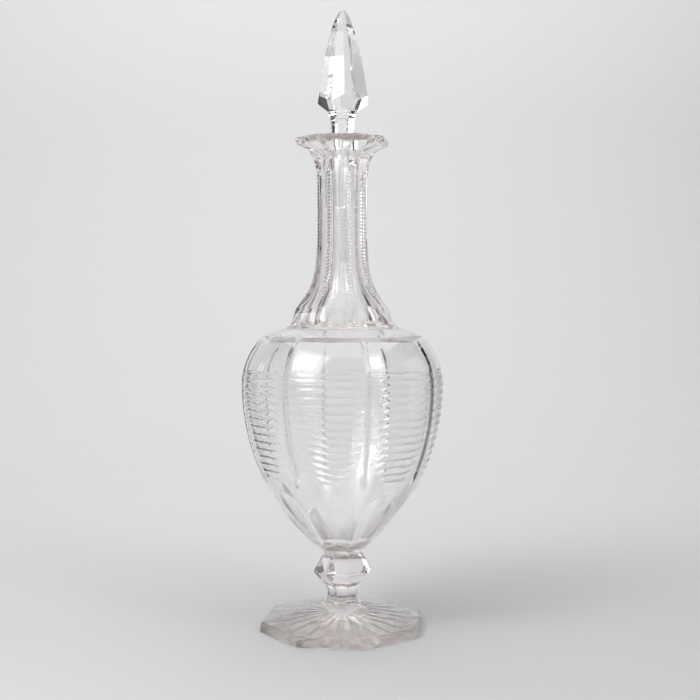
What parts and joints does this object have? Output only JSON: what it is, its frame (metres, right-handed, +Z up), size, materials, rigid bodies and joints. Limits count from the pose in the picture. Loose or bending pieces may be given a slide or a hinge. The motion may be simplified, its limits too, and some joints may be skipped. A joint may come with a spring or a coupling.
{
  "type": "decanter",
  "caption": "Footed cut-glass decanter with ribbed bowl, faceted neck and flared lip, closed by a lift-out ground stopper with a pointed spire finial.",
  "frame": {"origin": "centre of the foot's underside, on the table", "axes": "+Z up along the axis of the bowl and neck, -Y towards the viewer, +X to the viewer's right"},
  "size_m": [0.1146, 0.1146, 0.35],
  "materials": {
    "crystal": "polished lead crystal, cut and polished edges",
    "foot_crystal": "polished lead crystal with a faint warm tint where it is thick",
    "spire_crystal": "polished lead crystal, flat facets with sharp arrises",
    "ground_crystal": "fine ground, satin"
  },
  "bodies": {
    "decanter": {"foot": "foot_crystal", "stem": "crystal", "knop": "crystal", "bowl_and_neck": "crystal"},
    "stopper": {"stopper_finial": "spire_crystal", "stopper_plug": "ground_crystal"}
  },
  "joints": [
    {"name": "stopper_lift", "type": "slide", "parent": "decanter", "child": "stopper", "axis": [0, 0, 1], "range_m": [0, 0.07]}
  ]
}
